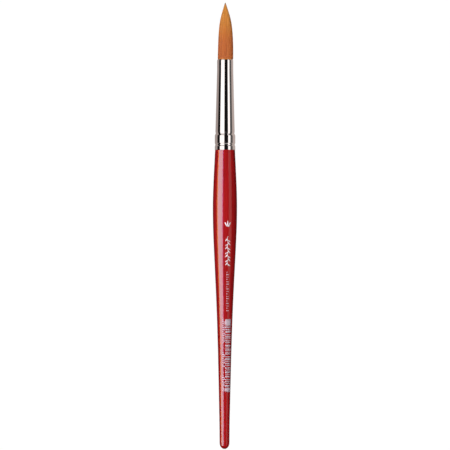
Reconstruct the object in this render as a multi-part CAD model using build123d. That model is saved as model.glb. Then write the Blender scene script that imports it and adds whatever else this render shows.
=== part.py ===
from build123d import *
from math import asin, degrees, sqrt
import os

# A round watercolour brush lying on a table. Millimetres throughout.
# Frame: the brush's axis runs along +Y with the tuft at the +Y end, +Z is up, and the
# handle's belly touches the table, z = 0. The origin is on the table, below mid-length.
# Every outline is drawn as (station, radius) and then turned about the axis. Stations
# are distances along the axis from the end of the butt.

# ---- whole brush ---------------------------------------------------------------------
total_length = 223.4
ferrule_low = 149.5          # the ferrule's wide end, where it meets the lacquer
ferrule_mouth = 194.6        # the ferrule's narrow end, where the tuft comes out

# ---- handle: turned hardwood ---------------------------------------------------------
butt_point = (0.60, 1.50)    # on the rounded butt
butt_top = (3.4, 2.47)
grip_points = [(24, 2.79), (49, 3.37), (74, 4.23), (97, 5.33)]
belly_point = (120.5, 6.06)
shoulder_point = (135, 5.67)
collar_radius = 4.98         # beside the ferrule
collar_slope = -0.045
collar_round = 0.15
tenon_end = 168.0            # the tenon is the turned-down end inside the ferrule
tenon_tip_radius = 3.4
tenon_chamfer = 0.7

# ---- ferrule: seamless drawn tube, crimped twice -------------------------------------
wall = 0.3
ferrule_low_radius = 5.13    # a straight band, with a crimp near each end
crimp_station = 152.1        # the lower crimp
crimp_width = 1.5
crimp_depth = 0.24
step_low = 156.4             # the upper crimp steps down from the band to the cone
step_bottom = (157.6, 4.70)
step_high = (158.8, 4.82)
cone_slope = -0.025
neck_radius = 4.04           # a straight cylinder, on which a cap slides
neck_low = 189.4
neck_high = 193.8
mouth_radius = 3.92          # the mouth is rolled in

# ---- glue and resin ------------------------------------------------------------------
glue_film = 0.1              # between the ferrule and the tenon
glue_high = 167.0
resin_low = 171.5            # the resin plug holds the filaments' roots
resin_high = 177.6

# ---- filaments inside the ferrule ----------------------------------------------------
root_station = 175.0
root_radius = neck_radius - wall
waist_low = 177.6            # the thread pulls the bundle in to a waist
waist_high = 180.8
waist_radius = 3.40
thread_turns = 6
thread_radius = 0.14
thread_pitch = 0.27
thread_ring_radius = 3.62

# ---- free tuft -----------------------------------------------------------------------
tuft_radius = 3.80
bend_station = ferrule_mouth + 2.8
bend_gap = 0.15              # between the roots' dish and the free tuft's round underside
tuft_points = [(204.3, 3.64), (210.3, 3.25), (214.8, 2.55), (218.3, 1.69), (221.3, 0.74)]
tip_slope = -0.36
core_radius = 2.4            # short filaments that fill the middle of the tuft
core_shoulder = 206.0
core_end = 214.0

outside = 10.0               # any radius larger than the brush


def turned(outline):
    """Turn an outline about the axis and lay the solid in the part's frame."""
    solid = revolve(outline, axis=Axis.X)
    return Pos(0, -total_length / 2, belly_point[1]) * Rot(0, 0, 90) * solid


def band(low, high, inner=0.0, outer=outside):
    """The stations from low to high, between two radii."""
    return make_face(Polyline((low, inner), (high, inner), (high, outer), (low, outer), close=True))


def ferrule_line(depth):
    """The ferrule's outline, moved in by depth, as edges from its low end to its mouth."""
    radius = ferrule_low_radius - depth
    crimp_low = (crimp_station - crimp_width / 2, radius)
    crimp_high = (crimp_station + crimp_width / 2, radius)
    step_start = (step_low, radius)
    step_middle = (step_bottom[0], step_bottom[1] - depth)
    step_end = (step_high[0], step_high[1] - depth)
    neck = (neck_low, neck_radius - depth)
    neck_top = (neck_high, neck_radius - depth)
    return [
        Line((ferrule_low, radius), crimp_low),
        ThreePointArc(crimp_low, (crimp_station, radius - crimp_depth), crimp_high),
        Line(crimp_high, step_start),
        Spline(step_start, step_middle, step_end, tangents=[(1, 0), (1, cone_slope)]),
        Line(step_end, neck),
        Line(neck, neck_top),
        TangentArc(neck_top, (ferrule_mouth, mouth_radius - depth), tangent=(1, 0)),
    ]


def inside_ferrule(depth):
    """Everything between the axis and the ferrule's outline moved in by depth."""
    low_radius = ferrule_low_radius - depth
    high_radius = mouth_radius - depth
    ends = Polyline(
        (ferrule_mouth, high_radius), (ferrule_mouth, 0), (ferrule_low, 0), (ferrule_low, low_radius))
    return make_face(ferrule_line(depth) + list(ends.edges()))


def about_bend(radius, from_radius, to_radius):
    """Arc round the bend point, on its handle side, between two distances from the axis."""
    start = 180 - degrees(asin(from_radius / radius))
    end = 180 - degrees(asin(to_radius / radius))
    return CenterArc((bend_station, 0), radius, start, end - start)


def make_handle():
    """Turned wood: round butt, long taper, belly, collar, and the tenon in the ferrule."""
    collar = (ferrule_low - collar_round, collar_radius)
    shoulder = (ferrule_low, collar_radius - collar_round)
    outline = [
        Spline((0, 0), butt_point, butt_top, tangents=[(0, 1), (1, 0)]),
        Spline(butt_top, *grip_points, belly_point, tangents=[(1, 0), (1, 0)]),
        Spline(belly_point, shoulder_point, collar, tangents=[(1, 0), (1, collar_slope)]),
        TangentArc(collar, shoulder, tangent=(1, collar_slope)),
    ]
    outline += Polyline(shoulder, (ferrule_low, 0), (0, 0)).edges()
    tenon_limit = make_face(Polyline(
        (ferrule_low, 0), (tenon_end, 0), (tenon_end, tenon_tip_radius),
        (tenon_end - tenon_chamfer, tenon_tip_radius + tenon_chamfer),
        (tenon_end - tenon_chamfer, outside), (ferrule_low, outside), close=True))
    tenon = inside_ferrule(wall + glue_film) & tenon_limit
    return turned(make_face(outline) + tenon)


def make_ferrule():
    """Thin tube: a band with two rolled crimps, a cone, a straight neck and a rolled mouth."""
    outer = ferrule_line(0)
    inner = ferrule_line(wall)
    low_end = Line((ferrule_low, ferrule_low_radius), (ferrule_low, ferrule_low_radius - wall))
    mouth = Line((ferrule_mouth, mouth_radius), (ferrule_mouth, mouth_radius - wall))
    return turned(make_face(outer + inner + [low_end, mouth]))


def make_tenon_adhesive():
    """Film of glue that fills the space between the tenon and the ferrule."""
    film = inside_ferrule(wall) - inside_ferrule(wall + glue_film)
    return turned(film & band(ferrule_low, glue_high))


def make_root_adhesive():
    """Resin plug with a short skirt round the roots of the filaments."""
    plug = inside_ferrule(wall) & band(resin_low, resin_high)
    return turned(plug - band(root_station, resin_high + 1, outer=root_radius))


def make_binding_thread():
    """Turns of thread, side by side, tied round the waist of the bundle."""
    middle = (waist_low + waist_high) / 2
    first = middle - thread_pitch * (thread_turns - 1) / 2
    turns = Sketch()
    for turn in range(thread_turns):
        turns += Pos(first + turn * thread_pitch, thread_ring_radius) * Circle(thread_radius)
    return turned(turns.face())


def make_filament_roots():
    """The filaments inside the ferrule, with a hollow top that the free tuft turns over."""
    dish_radius = tuft_radius + bend_gap
    rim = sqrt(dish_radius**2 - (bend_station - ferrule_mouth)**2)
    waist_middle = ((waist_low + waist_high) / 2, waist_radius)
    neck_top = (neck_high, root_radius)
    lip = (ferrule_mouth, mouth_radius - wall)
    outline = [
        Line((root_station, 0), (root_station, root_radius)),
        Line((root_station, root_radius), (waist_low, root_radius)),
        ThreePointArc((waist_low, root_radius), waist_middle, (waist_high, root_radius)),
        Line((waist_high, root_radius), neck_top),
        TangentArc(neck_top, lip, tangent=(1, 0)),
        Line(lip, (ferrule_mouth, rim)),
        about_bend(dish_radius, rim, 0),
        Line((bend_station - dish_radius, 0), (root_station, 0)),
    ]
    return turned(make_face(outline))


def make_belly_filaments():
    """Short filaments that fill the middle of the free tuft."""
    side_low = about_bend(tuft_radius, core_radius, 0) @ 0
    outline = [
        about_bend(tuft_radius, 0, core_radius),
        Line(side_low, (core_shoulder, core_radius)),
        Spline((core_shoulder, core_radius), (core_end, 0), tangents=[(1, 0), (1, -1)]),
        Line((core_end, 0), (bend_station - tuft_radius, 0)),
    ]
    return turned(make_face(outline))


def make_outer_filaments():
    """Long filaments round the short ones, meeting in the point of the brush."""
    side_low = about_bend(tuft_radius, core_radius, 0) @ 0
    tip = (total_length, 0)
    outline = [
        about_bend(tuft_radius, core_radius, tuft_radius),
        Spline((bend_station, tuft_radius), *tuft_points, tip, tangents=[(1, 0), (1, tip_slope)]),
        Line(tip, (core_end, 0)),
        Spline((core_shoulder, core_radius), (core_end, 0), tangents=[(1, 0), (1, -1)]),
        Line((core_shoulder, core_radius), side_low),
    ]
    return turned(make_face(outline))


pieces = {
    "handle": make_handle(),
    "ferrule": make_ferrule(),
    "tenon_adhesive": make_tenon_adhesive(),
    "root_adhesive": make_root_adhesive(),
    "binding_thread": make_binding_thread(),
    "filament_roots": make_filament_roots(),
    "belly_filaments": make_belly_filaments(),
    "outer_filaments": make_outer_filaments(),
}

os.makedirs("parts", exist_ok=True)
for name, piece in pieces.items():
    export_step(piece, f"parts/{name}.step")
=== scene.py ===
import math
import random
import bpy
import numpy as np
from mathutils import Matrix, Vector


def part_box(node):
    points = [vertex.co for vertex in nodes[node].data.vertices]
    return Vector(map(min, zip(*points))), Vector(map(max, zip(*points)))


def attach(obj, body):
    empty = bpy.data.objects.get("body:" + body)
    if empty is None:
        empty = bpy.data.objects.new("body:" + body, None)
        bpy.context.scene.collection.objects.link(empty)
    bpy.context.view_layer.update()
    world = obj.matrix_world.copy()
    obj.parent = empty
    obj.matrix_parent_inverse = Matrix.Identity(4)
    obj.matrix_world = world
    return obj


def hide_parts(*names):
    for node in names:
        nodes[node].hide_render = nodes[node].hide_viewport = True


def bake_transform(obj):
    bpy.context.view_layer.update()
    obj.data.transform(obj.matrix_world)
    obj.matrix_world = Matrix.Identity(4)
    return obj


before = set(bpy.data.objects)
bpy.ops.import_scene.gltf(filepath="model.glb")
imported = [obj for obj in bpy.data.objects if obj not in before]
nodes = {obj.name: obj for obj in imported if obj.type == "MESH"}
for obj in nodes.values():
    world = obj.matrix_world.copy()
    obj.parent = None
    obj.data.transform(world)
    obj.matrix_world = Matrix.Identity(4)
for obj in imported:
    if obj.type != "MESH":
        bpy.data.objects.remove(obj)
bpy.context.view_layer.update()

# A round watercolour brush on a white studio floor. Metres, in the CAD model's frame:
# the brush's axis runs along +Y, with the tuft at the +Y end. Angles round the axis are
# measured from +Z, straight up, towards +X.

MM = 0.001
scene = bpy.context.scene
tuft_low, tuft_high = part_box("outer_filaments")
axis_z = (tuft_low.z + tuft_high.z) / 2
butt_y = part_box("handle")[0].y
mouth_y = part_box("ferrule")[1].y
tip_y = tuft_high.y


# ---- camera -----------------------------------------------------------------------------
# It looks straight down on the brush from far off, so the brush fills the square frame's height.
camera_height = 1.6                 # above the brush's axis
framed_width = 0.225                # what the frame takes in at the axis
aim_x, aim_y = 0.05 * MM, 0.25 * MM
roll = math.radians(0.1)
camera = bpy.data.objects.new("camera", bpy.data.cameras.new("camera"))
camera.data.sensor_width = 36
camera.data.lens = camera.data.sensor_width * camera_height / framed_width
camera.data.clip_end = 20
camera.location = (aim_x, aim_y, axis_z + camera_height)
camera.rotation_euler = (0, 0, roll)
scene.collection.objects.link(camera)
scene.camera = camera
scene.view_settings.view_transform = "Standard"


# ---- material helpers -------------------------------------------------------------------
class Shader:
    """A node material: one Principled shader, with helpers for the nodes that feed it."""

    def __init__(self, name, **values):
        self.material = bpy.data.materials.new(name)
        self.material.use_nodes = True
        self.tree = self.material.node_tree
        self.principled = self.tree.nodes["Principled BSDF"]
        for socket, value in values.items():
            self.principled.inputs[socket.replace("_", " ")].default_value = value
        self.object_space = self.tree.nodes.new("ShaderNodeTexCoord").outputs["Object"]

    def noise(self, scale, detail=3.0, roughness=0.5):
        """Noise, 0 to 1. A scale is in features per metre on each axis."""
        mapping = self.tree.nodes.new("ShaderNodeMapping")
        mapping.inputs["Scale"].default_value = scale
        self.tree.links.new(self.object_space, mapping.inputs["Vector"])
        node = self.tree.nodes.new("ShaderNodeTexNoise")
        node.inputs["Scale"].default_value = 1.0
        node.inputs["Detail"].default_value = detail
        node.inputs["Roughness"].default_value = roughness
        self.tree.links.new(mapping.outputs["Vector"], node.inputs["Vector"])
        return node.outputs["Fac"]

    def ramp(self, factor, *stops):
        """Colours at places from 0 to 1."""
        node = self.tree.nodes.new("ShaderNodeValToRGB")
        points = node.color_ramp.elements
        while len(points) < len(stops):
            points.new(0.5)
        for point, (place, colour) in zip(points, stops):
            point.position = place
            point.color = (*colour, 1)
        self.tree.links.new(factor, node.inputs["Fac"])
        return node.outputs["Color"]

    def mix(self, factor, first, second):
        """Two colours mixed. Each is a socket or a plain colour, and the factor a socket or number."""
        node = self.tree.nodes.new("ShaderNodeMix")
        node.data_type = "RGBA"
        for socket, value in (("Factor_Float", factor), ("A_Color", first), ("B_Color", second)):
            target = next(s for s in node.inputs if s.identifier == socket)
            if isinstance(value, bpy.types.NodeSocket):
                self.tree.links.new(value, target)
            else:
                target.default_value = value if isinstance(value, float) else (*value, 1)
        return next(s for s in node.outputs if s.identifier == "Result_Color")

    def spread(self, factor, low, high):
        """A 0 to 1 value spread between low and high."""
        node = self.tree.nodes.new("ShaderNodeMapRange")
        node.inputs["To Min"].default_value = low
        node.inputs["To Max"].default_value = high
        self.tree.links.new(factor, node.inputs["Value"])
        return node.outputs["Result"]

    def attribute(self, name):
        """A number stored on the mesh's points."""
        node = self.tree.nodes.new("ShaderNodeAttribute")
        node.attribute_name = name
        return node.outputs["Fac"]

    def along(self, low, high):
        """0 at low and 1 at high along the brush."""
        split = self.tree.nodes.new("ShaderNodeSeparateXYZ")
        self.tree.links.new(self.object_space, split.inputs["Vector"])
        node = self.tree.nodes.new("ShaderNodeMapRange")
        node.inputs["From Min"].default_value = low
        node.inputs["From Max"].default_value = high
        self.tree.links.new(split.outputs["Y"], node.inputs["Value"])
        return node.outputs["Result"]

    def bump(self, height, distance, target="Normal"):
        """Bump of a real height in metres."""
        node = self.tree.nodes.new("ShaderNodeBump")
        node.inputs["Distance"].default_value = distance
        node.inputs["Strength"].default_value = 1.0
        self.tree.links.new(height, node.inputs["Height"])
        self.tree.links.new(node.outputs["Normal"], self.principled.inputs[target])

    def feed(self, socket, value):
        """Connect a value to the Principled shader."""
        self.tree.links.new(value, self.principled.inputs[socket])


def set_material(node_name, shader):
    """Give a carried-over CAD node its material."""
    for material_slot in nodes[node_name].material_slots:
        material_slot.material = shader.material


# ---- materials --------------------------------------------------------------------------
butt_shade_length = 3 * MM                # of the butt, where the red darkens: painted shade at the butt's end


def red_lacquer():
    """Transparent red lacquer over fine-grained wood, with painted shade at the butt's end."""
    shader = Shader("red_lacquer_over_wood", Coat_Weight=1.0, Coat_Roughness=0.02, Coat_IOR=1.5,
                    Specular_IOR_Level=0.02)
    grain = shader.noise((900, 22, 900), detail=5, roughness=0.6)
    figure = shader.noise((260, 9, 260), detail=3)
    pores = shader.noise((3200, 90, 3200), detail=2)
    red = shader.ramp(grain, (0.30, (0.36, 0.007, 0.008)), (0.52, (0.47, 0.008, 0.011)),
                      (0.72, (0.55, 0.013, 0.013)))
    red = shader.mix(shader.spread(figure, -0.35, 0.75), red, (0.42, 0.010, 0.010))
    red = shader.mix(shader.ramp(pores, (0.60, (0, 0, 0)), (0.74, (0.5, 0.5, 0.5))), red,
                     (0.20, 0.006, 0.008))
    # painted shade: the red darkens to a near-black red towards the butt's end
    painted_butt_shade = shader.ramp(shader.along(butt_y, butt_y + butt_shade_length),
                           (0.0, (0.85, 0.85, 0.85)), (0.35, (0, 0, 0)))
    red = shader.mix(painted_butt_shade, red, (0.10, 0.006, 0.006))
    shader.feed("Base Color", red)
    shader.feed("Roughness", shader.spread(grain, 0.35, 0.5))
    shader.bump(grain, 0.004 * MM)
    shader.bump(shader.noise((300, 40, 300), detail=1), 0.003 * MM, target="Coat Normal")
    return shader


def nickel():
    """Bright nickel plate on drawn brass, with faint marks along the tube."""
    shader = Shader("bright_nickel_plate", Metallic=1.0)
    drawn = shader.noise((2600, 30, 2600), detail=2)
    haze = shader.noise((180, 120, 180), detail=4)
    shader.feed("Base Color", shader.mix(shader.spread(haze, 0.0, 1.0), (0.83, 0.77, 0.745),
                                         (0.76, 0.69, 0.665)))
    shader.feed("Roughness", shader.spread(haze, 0.016, 0.03))
    shader.bump(drawn, 0.00004 * MM)
    return shader


def cured_glue(name, colour, deep, roughness):
    """Cured adhesive, a little uneven."""
    shader = Shader(name, Roughness=roughness)
    cloud = shader.noise((400, 400, 400), detail=4)
    shader.feed("Base Color", shader.ramp(cloud, (0.35, deep), (0.7, colour)))
    shader.bump(cloud, 0.02 * MM)
    return shader


def cotton_thread():
    """Undyed twisted thread."""
    shader = Shader("cotton_thread", Roughness=0.85, Sheen_Weight=0.3)
    fibres = shader.noise((6000, 3000, 6000), detail=3)
    shader.feed("Base Color", shader.ramp(fibres, (0.3, (0.55, 0.50, 0.40)), (0.7, (0.84, 0.80, 0.70))))
    shader.bump(fibres, 0.02 * MM)
    return shader


def golden_hair(name, painted_shade=0.0):
    """Golden-brown synthetic filament: light at the mouth, reddish above it, golden at the point."""
    shader = Shader(name, Specular_IOR_Level=0.35, Sheen_Weight=0.15, Sheen_Roughness=0.4)
    length = shader.attribute("along")
    tone = shader.attribute("tone")
    colour = shader.ramp(length, (0.0, (0.80, 0.300, 0.066)), (0.042, (0.79, 0.290, 0.060)),
                         (0.068, (0.64, 0.160, 0.030)), (0.34, (0.70, 0.182, 0.032)),
                         (0.62, (0.84, 0.315, 0.045)), (1.0, (0.95, 0.43, 0.070)))
    colour = shader.mix(shader.spread(tone, 0.0, 0.52), colour, (0.34, 0.080, 0.020))
    colour = shader.mix(shader.ramp(tone, (0.0, (0.5, 0.5, 0.5)), (0.22, (0, 0, 0))), colour,
                        (0.80, 0.40, 0.13))
    # painted shade: the colour is darkened towards a deep brown, for the shade inside the tuft
    if painted_shade:
        colour = shader.mix(painted_shade, colour, (0.10, 0.03, 0.012))
    shader.feed("Base Color", colour)
    shader.feed("Roughness", shader.spread(tone, 0.38, 0.55))
    return shader


def packed_roots():
    """The filaments packed inside the ferrule, seen as one bundle."""
    shader = Shader("packed_filament_roots", Specular_IOR_Level=0.3)
    strands = shader.noise((5200, 60, 5200), detail=3)
    shader.feed("Base Color", shader.ramp(strands, (0.3, (0.20, 0.055, 0.018)), (0.7, (0.55, 0.18, 0.05))))
    shader.feed("Roughness", shader.spread(strands, 0.4, 0.6))
    shader.bump(strands, 0.06 * MM)
    return shader


def stamped_foil(name, worn, plain):
    """Hot-stamped foil, a little worn, so that some red shows through."""
    shader = Shader(name, Metallic=0.15, Coat_Weight=0.3, Coat_Roughness=0.2)
    wear = shader.noise((2600, 2600, 2600), detail=4, roughness=0.7)
    shader.feed("Base Color", shader.ramp(wear, (0.28, worn), (0.45, plain)))
    shader.feed("Roughness", shader.spread(wear, 0.28, 0.5))
    shader.bump(wear, 0.004 * MM)
    return shader


# ---- carried-over CAD nodes -------------------------------------------------------------
set_material("handle", red_lacquer())
set_material("ferrule", nickel())
set_material("tenon_adhesive", cured_glue("cured_wood_glue", (0.80, 0.74, 0.55), (0.62, 0.52, 0.34), 0.6))
set_material("root_adhesive", cured_glue("cured_root_resin", (0.55, 0.36, 0.12), (0.34, 0.19, 0.06), 0.2))
set_material("binding_thread", cotton_thread())
set_material("filament_roots", packed_roots())


# ---- tuft -------------------------------------------------------------------------------
# The free tuft's outline: distance above the ferrule's mouth and radius, in millimetres. The
# filaments start just inside the mouth.
tuft_outline = [(-1.2, 3.40), (-0.5, 3.50), (0.0, 3.60), (0.2, 3.80), (0.6, 3.88), (1.4, 3.87), (3.6, 3.85),
                (6.2, 3.80), (9.7, 3.69), (12.8, 3.52), (15.7, 3.28), (18.2, 2.97), (20.2, 2.58),
                (22.2, 2.11), (23.7, 1.66), (25.3, 1.16), (26.7, 0.70), (27.8, 0.36), (28.8, 0.07)]
outline_distance = np.array([point[0] for point in tuft_outline])
outline_radius = np.array([point[1] for point in tuft_outline])
tuft_root = tuft_outline[0][0]
tuft_length = (tip_y - mouth_y) / MM
# The tuft sits a little off the axis: distance above the mouth, and shift to +X.
shift_distance = np.array([-1.2, 0.5, 7, 16, 24, 28.8])
shift_sideways = np.array([0.0, 0.14, 0.22, 0.20, 0.08, 0.0])


def tuft_radius(distance):
    """Radius of the tuft's outline at a distance above the mouth, in millimetres."""
    return np.interp(distance, outline_distance, outline_radius)


def share_of_tuft(distance):
    """0 where the filaments start and 1 at the tuft's point."""
    return (distance - tuft_root) / (tuft_length - tuft_root)


def tuft_place(distance, radius, angle):
    """Points at distances above the mouth, radii and angles, as metres in the frame."""
    x = (radius * np.sin(angle) + np.interp(distance, shift_distance, shift_sideways)) * MM
    z = radius * np.cos(angle) * MM + axis_z
    return np.stack([x, mouth_y + distance * MM, z], axis=-1)


def mesh_object(name, points, faces, attributes=None):
    """A smooth-shaded mesh object, with any numbers to store on its points."""
    mesh = bpy.data.meshes.new(name)
    mesh.from_pydata(points, [], faces)
    mesh.shade_smooth()
    for key, values in (attributes or {}).items():
        mesh.attributes.new(key, "FLOAT", "POINT").data.foreach_set("value", np.asarray(values, np.float32))
    piece = bpy.data.objects.new(name, mesh)
    scene.collection.objects.link(piece)
    return piece


def tube_faces(first, rings, sides):
    """Faces of a tube of rings that ends in one point, closed at its start."""
    faces = [tuple(first + side for side in reversed(range(sides)))]
    for ring in range(rings - 1):
        low = first + ring * sides
        for side in range(sides):
            after = (side + 1) % sides
            faces.append((low + side, low + after, low + sides + after, low + sides + side))
    last = first + (rings - 1) * sides
    faces += [(last + side, last + (side + 1) % sides, last + sides) for side in range(sides)]
    return faces


filament_sides = 6
filament_rings = 26
shortest = 2.6                      # how far below the point the shortest filaments end
point_gap = 0.05                    # how far below the point the longest end
core_gap = 3.5                      # how far below the point the core ends


def make_filaments(name, count, chance, depth_low, depth_high, thickness):
    """One layer of single filaments round the tuft, each a tapering tube that ends in a point."""
    points, faces, along, tones = [], [], [], []
    for number in range(count):
        angle = 2 * math.pi * (number + chance.uniform(-0.45, 0.45)) / count
        depth = chance.uniform(depth_low, depth_high)
        end = tuft_length - point_gap - shortest * chance.random() ** 0.8
        start = tuft_root + chance.uniform(0, 0.35)
        swing = chance.uniform(-0.018, 0.018)
        phase = chance.uniform(0, 2 * math.pi)
        clump = 0.5 + 0.5 * math.sin(11 * angle + 1.3 * math.sin(3 * angle)) * math.sin(5 * angle + 0.7)
        tone = min(1.0, max(0.0, 0.58 * clump + chance.uniform(-0.06, 0.40)))
        share = np.linspace(0, 1, filament_rings) ** 0.9
        distance = start + (end - start) * share
        half = thickness * chance.uniform(0.85, 1.15) * np.clip(1.12 - 0.85 * share ** 2.2, 0.25, 1)
        outline = tuft_radius(distance)
        inset = depth * np.clip(outline / outline_radius.max(), 0.05, 1)
        bow = 0.025 * np.sin(phase + distance * 0.3) * np.clip(distance / 8, 0, 1)
        radius = np.maximum(outline - half - inset + bow, 0.02)
        turn = angle + swing * np.sin(phase + distance * 0.16) + 0.10 * np.sin(7 * angle + 0.5) * share ** 2
        centre = tuft_place(distance, radius, turn)
        outward = np.stack([np.sin(turn), np.zeros_like(turn), np.cos(turn)], axis=-1)
        sideways = np.stack([np.cos(turn), np.zeros_like(turn), -np.sin(turn)], axis=-1)
        first = len(points)
        for ring in range(filament_rings - 1):
            for side in range(filament_sides):
                around = 2 * math.pi * side / filament_sides
                reach = half[ring] * MM
                points.append(centre[ring] + outward[ring] * math.cos(around) * reach
                              - sideways[ring] * math.sin(around) * reach)
                along.append(share_of_tuft(distance[ring]))
                tones.append(tone)
        points.append(centre[-1])
        along.append(share_of_tuft(distance[-1]))
        tones.append(tone)
        faces += tube_faces(first, filament_rings - 1, filament_sides)
    return mesh_object(name, points, faces, {"along": along, "tone": tones})


def make_tuft_core():
    """The bundle's inside, just below the single filaments, fluted like packed hairs."""
    sides, rings = 160, 60
    points, along, tones = [], [], []
    distance = np.linspace(tuft_root, tuft_length - core_gap, rings)
    for place in distance[:-1]:
        outline = tuft_radius(place)
        radius = max(outline - 0.16 - 0.03 * outline, 0.04)
        for side in range(sides):
            angle = 2 * math.pi * side / sides
            flute = 1 + 0.012 * math.cos(angle * sides / 4)
            points.append(tuft_place(place, radius * flute, angle))
            along.append(share_of_tuft(place))
            tones.append(0.5 + 0.3 * math.sin(23 * angle))
    points.append(tuft_place(distance[-1], 0.0, 0.0))
    along.append(1.0)
    tones.append(0.5)
    faces = tube_faces(0, rings - 1, sides)
    return mesh_object("tuft_core", points, faces, {"along": along, "tone": tones})


chance = random.Random(14)
hair = golden_hair("golden_filament")
# the core's colour carries painted shade, for the shade inside the bundle
hair_core = golden_hair("golden_filament_core", painted_shade=0.2)
tuft_core = make_tuft_core()
tuft_layers = [
    make_filaments("inner_filament_layer", 210, chance, 0.16, 0.30, 0.085),
    make_filaments("middle_filament_layer", 230, chance, 0.07, 0.20, 0.080),
    make_filaments("outer_filament_layer_a", 230, chance, 0.00, 0.06, 0.078),
    make_filaments("outer_filament_layer_b", 230, chance, 0.00, 0.08, 0.072),
]
tuft_core.data.materials.append(hair_core.material)
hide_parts("belly_filaments")
for layer in tuft_layers:
    layer.data.materials.append(hair.material)
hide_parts("outer_filaments")
for piece in [tuft_core, *tuft_layers]:
    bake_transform(piece)


# ---- stamped marks ----------------------------------------------------------------------
# Stamped on the handle's top. A place on the handle is (station, across): millimetres
# from the butt, and millimetres round the surface from the top line towards +X.
foil_height = 0.022                 # above the lacquer
foil_sink = 0.03                    # below it
marked_length = 130                 # of the handle, from the butt
handle_points = np.array([vertex.co[:] for vertex in nodes["handle"].data.vertices])
handle_reach = np.hypot(handle_points[:, 0], handle_points[:, 2] - axis_z)
marked = handle_points[:, 1] < butt_y + marked_length * MM
marked &= handle_reach > 1 * MM     # leaves out points on the axis
station_table = np.unique(np.round(handle_points[marked, 1], 6))
reach_table = [handle_reach[marked][np.abs(handle_points[marked, 1] - place) < 0.01 * MM].max()
               for place in station_table]


def handle_radius(station):
    """The handle's radius at a station, in millimetres."""
    return float(np.interp(butt_y + station * MM, station_table, reach_table)) / MM


class Stamp:
    """Collects thin foil shapes that lie on the handle's curve."""

    def __init__(self):
        self.points = []
        self.faces = []

    def place(self, station, across, lift):
        """Add a point above the handle's surface."""
        radius = handle_radius(station)
        angle = across / radius
        reach = (radius + lift) * MM
        self.points.append(
            (reach * math.sin(angle), butt_y + station * MM, axis_z + reach * math.cos(angle)))

    def grid(self, rows):
        """A closed slab over a grid of places."""
        first, wide = len(self.points), len(rows[0])
        size = wide * len(rows)     # points on each of the slab's two sides
        for lift in (foil_height, -foil_sink):
            for row in rows:
                for station, across in row:
                    self.place(station, across, lift)
        rim = [(0, column) for column in range(wide)]
        rim += [(row, wide - 1) for row in range(1, len(rows))]
        rim += [(len(rows) - 1, column) for column in reversed(range(wide - 1))]
        rim += [(row, 0) for row in reversed(range(1, len(rows) - 1))]
        for row in range(len(rows) - 1):
            for column in range(wide - 1):
                low = first + row * wide + column
                quad = (low, low + 1, low + wide + 1, low + wide)
                self.faces.append(quad)
                self.faces.append(tuple(size + corner for corner in reversed(quad)))
        for (row_a, column_a), (row_b, column_b) in zip(rim, rim[1:] + rim[:1]):
            a = first + row_a * wide + column_a
            b = first + row_b * wide + column_b
            self.faces.append((b, a, a + size, b + size))

    def block(self, station_low, station_high, across_low, across_high):
        """A patch with straight sides."""
        columns = max(2, int((across_high - across_low) / 0.3) + 2)
        lines = max(2, int((station_high - station_low) / 1.5) + 2)
        self.grid([[(station, across) for across in np.linspace(across_low, across_high, columns)]
                   for station in np.linspace(station_low, station_high, lines)])

    def stroke(self, path, widths):
        """A line of changing width through places."""
        path = np.array(path, float)
        ahead = np.gradient(path, axis=0)
        ahead /= np.linalg.norm(ahead, axis=1)[:, None]
        side = np.stack([-ahead[:, 1], ahead[:, 0]], axis=1)
        self.grid([[tuple(point + normal * width / 2 * share) for share in (1, 0, -1)]
                   for point, normal, width in zip(path, side, widths)])

    def leaf(self, station, across, length, direction, width):
        """A pointed oval."""
        share = np.linspace(0, 1, 11)
        path = [(station + length * t * math.cos(direction), across + length * t * math.sin(direction))
                for t in share]
        self.stroke(path, 0.03 + width * np.sin(math.pi * share) ** 0.8)

    def finish(self, name, shader):
        """Make the piece, which rides on the handle."""
        piece = mesh_object(name, self.points, self.faces)
        piece.data.materials.append(shader.material)
        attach(piece, "handle_body")
        return piece


silver = stamped_foil("stamped_silver_foil", (0.62, 0.36, 0.40), (0.88, 0.81, 0.85))
white = stamped_foil("stamped_white_print", (0.50, 0.26, 0.33), (0.70, 0.53, 0.62))

# a small ornament: three short leaves in a fan
ornament = Stamp()
for side in (-1, 0, 1):
    ornament.leaf(111.0, 1.45 + side * 0.3, 3.1 - 0.5 * abs(side), math.radians(26 * side), 0.62)
ornament_piece = ornament.finish("leaf_ornament", silver)

# a sprig of slanted leaves
sprig = Stamp()
sprig_across = 1.5
stem_points = 40
stem = [(place, sprig_across + 0.18 * math.sin(place * 1.6))
        for place in np.linspace(91.4, 106.4, stem_points)]
sprig.stroke(stem, np.full(stem_points, 0.22))
for number, station in enumerate([105.4, 103.4, 101.4, 99.4, 97.4, 95.4, 93.4]):
    side = 1 if number % 2 else -1
    sprig.leaf(station, sprig_across, 2.0, math.radians(180 - side * 40), 0.55)
    sprig.leaf(station - 0.9, sprig_across, 1.7, math.radians(180 + side * 52), 0.50)
sprig_piece = sprig.finish("sprig_ornament", silver)

# a fine row of dots and dashes
row = Stamp()
station = 88.6
for number in range(17):
    length = (0.55, 0.9, 0.4, 0.75)[number % 4]
    row.block(station - length * 0.6, station, 0.85, 1.95 if number % 3 else 1.4)
    station -= length + 0.55
row_piece = row.finish("dash_row", white)

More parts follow.
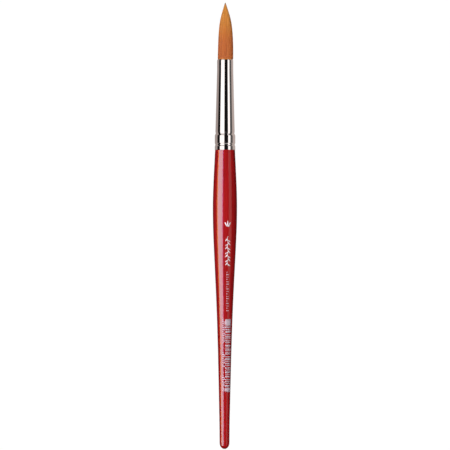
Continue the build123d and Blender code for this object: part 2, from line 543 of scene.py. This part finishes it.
# a block of plain bars between two plain patches, and groups of short strokes beside it
bars = Stamp()
block_low, block_high = 28.6, 65.0
block_sides = (0.37, 3.45)          # across
top_patch, low_patch = 3.4, 3.6     # lengths; the low one also fills what the bars leave
bar_gaps = (0.34, 0.55, 0.34, 0.8, 0.42)
bar_lines = (0.62, 0.42, 0.75, 0.45, 1.05, 0.5)
bars.block(block_high - top_patch, block_high, *block_sides)
station = block_high - top_patch
number = 0
while station > block_low + low_patch:
    station -= bar_gaps[number % len(bar_gaps)]
    line = bar_lines[(number * 5) % len(bar_lines)]
    bars.block(station - line, station, *block_sides)
    station -= line
    number += 1
bars.block(block_low, station - 0.35, *block_sides)
stroke_length, stroke_pitch = 0.42, 0.95
foot_end = 0.74                     # every second stroke has a foot
for group_low, group_high in ((52.2, 64.8), (40.6, 48.4), (28.8, 37.0)):
    station = group_high
    number = 0
    while station > group_low + 0.4:
        bars.block(station - stroke_length, station, -1.15, 0.15 if number % 3 else -0.5)
        if number % 2:
            bars.block(station - foot_end, station - stroke_length, -0.25, 0.15)
        station -= stroke_pitch
        number += 1
bars_piece = bars.finish("bar_block", white)


# ---- studio -----------------------------------------------------------------------------
def strip(name, angle_low, angle_high, radiance, colour=(1, 1, 1), distance=0.9, length=1.7,
          diffuse=False, glossy=True, only=None, centre_y=0.0, tilt=0.0):
    """A long light along the brush, between two angles round its axis. It may light only some parts.

    The radiance is what a mirror would show."""
    middle = math.radians((angle_low + angle_high) / 2)
    across = 2 * distance * math.tan(math.radians((angle_high - angle_low) / 2))
    light = bpy.data.lights.new(name, "AREA")
    light.shape = "RECTANGLE"
    light.size = across
    light.size_y = length
    light.energy = math.pi * across * length * radiance
    light.color = colour
    lamp = bpy.data.objects.new(name, light)
    lamp.location = (distance * math.sin(middle), centre_y, axis_z + distance * math.cos(middle))
    lamp.rotation_euler = (math.radians(tilt), middle, 0)
    lamp.visible_camera = False
    lamp.visible_diffuse = diffuse
    lamp.visible_glossy = glossy
    scene.collection.objects.link(lamp)
    if only:
        receivers = bpy.data.collections.new(name + "_receivers")
        for part in only:
            receivers.objects.link(part)
        lamp.light_linking.receiver_collection = receivers


metal = [nodes["ferrule"]]
lacquered = [nodes["handle"], ornament_piece, sprig_piece, row_piece, bars_piece]
hairs = [tuft_core, *tuft_layers]

# seen in the nickel
strip("nickel_left_strip", -60, -9, 1.45, length=1.65, centre_y=-0.375, only=metal)
strip("nickel_left_end", -60, -9, 0.75, length=1.0, centre_y=0.96, only=metal)
strip("nickel_right_strip", 36, 63, 1.4, length=1.65, centre_y=-0.375, only=metal)
strip("nickel_right_end", 36, 63, 0.7, length=1.0, centre_y=0.96, only=metal)
strip("nickel_right_dim", 66, 96, 0.10, only=metal)
strip("nickel_left_card", -179, -96, 0.42, (1.0, 0.88, 0.84), distance=0.5, only=metal)
strip("nickel_right_card", 96, 179, 0.55, (1.0, 0.87, 0.82), distance=0.5, only=metal)
strip("nickel_butt_end", -9, 36, 0.30, length=0.9, centre_y=-0.72, tilt=25, only=metal)
# seen in the lacquer
strip("lacquer_left_strip", -74, -25, 7.4, (0.88, 1.0, 1.09), only=lacquered)
strip("lacquer_warm_edge", -85, -74, 8.5, (1.0, 0.42, 0.05), only=lacquered)
strip("lacquer_cool_edge", -25, -19, 5.2, (0.85, 0.34, 1.05), only=lacquered)
strip("lacquer_right_strip", 38, 68, 0.8, (0.70, 1.0, 0.90), only=lacquered)
# soft light
strip("key", -45, 22, 2.4, (1.0, 0.985, 0.97), distance=1.1, diffuse=True, glossy=False)
strip("bounce_left", -175, -93, 0.45, (1.0, 0.98, 0.96), distance=0.5, diffuse=True, glossy=False)
strip("bounce_right", 93, 175, 0.42, (1.0, 0.98, 0.96), distance=0.5, diffuse=True, glossy=False)
strip("hair_sheen", -62, -8, 1.3, (1.0, 0.95, 0.85), only=hairs)

world = bpy.data.worlds.new("studio")
world.use_nodes = True
world.node_tree.nodes["Background"].inputs["Color"].default_value = (1, 1, 1, 1)
world.node_tree.nodes["Background"].inputs["Strength"].default_value = 0.01
scene.world = world


def make_floor():
    """A floor that glows plain white, so that the brush casts no visible shadow on it.

    Only the camera sees it: it neither lights the brush nor shows in its reflections."""
    reach = 7.5
    sides = 64
    points = []
    for side in range(sides):
        around = 2 * math.pi * side / sides
        points.append((reach * math.sin(around), reach * math.cos(around), 0))
    mesh = bpy.data.meshes.new("floor")
    mesh.from_pydata(points, [], [tuple(reversed(range(sides)))])
    floor = bpy.data.objects.new("floor", mesh)
    scene.collection.objects.link(floor)
    shader = Shader("white_studio_floor", Roughness=1.0, Specular_IOR_Level=0.0)
    shader.feed("Base Color", shader.ramp(shader.noise((3, 3, 3)), (0.0, (0.010, 0.010, 0.010)),
                                          (1.0, (0.014, 0.014, 0.014))))
    shader.principled.inputs["Emission Color"].default_value = (1, 1, 1, 1)
    shader.principled.inputs["Emission Strength"].default_value = 1.01
    mesh.materials.append(shader.material)
    floor.visible_glossy = False
    floor.visible_diffuse = False
    floor.visible_shadow = False


def make_backdrop():
    """A glowing white dome that only the camera sees."""
    sides, rings, reach = 48, 12, 7.4
    below_floor = 0.2
    points = []
    for ring in range(rings):
        climb = math.pi / 2 * ring / rings
        for side in range(sides):
            around = 2 * math.pi * side / sides
            points.append((reach * math.cos(climb) * math.sin(around),
                           reach * math.cos(climb) * math.cos(around),
                           reach * math.sin(climb) - below_floor))
    points.append((0, 0, reach - below_floor))
    faces = [(ring * sides + side, ring * sides + (side + 1) % sides,
              (ring + 1) * sides + (side + 1) % sides, (ring + 1) * sides + side)
             for ring in range(rings - 1) for side in range(sides)]
    last = (rings - 1) * sides
    faces += [(last + side, last + (side + 1) % sides, rings * sides) for side in range(sides)]
    material = bpy.data.materials.new("backdrop")
    material.use_nodes = True
    tree = material.node_tree
    tree.nodes.clear()
    emission = tree.nodes.new("ShaderNodeEmission")
    output = tree.nodes.new("ShaderNodeOutputMaterial")
    tree.links.new(emission.outputs["Emission"], output.inputs["Surface"])
    mesh = bpy.data.meshes.new("backdrop")
    mesh.from_pydata(points, [], faces)
    mesh.materials.append(material)
    dome = bpy.data.objects.new("backdrop", mesh)
    scene.collection.objects.link(dome)
    dome.visible_shadow = False
    dome.visible_diffuse = False
    dome.visible_glossy = False


make_floor()
make_backdrop()
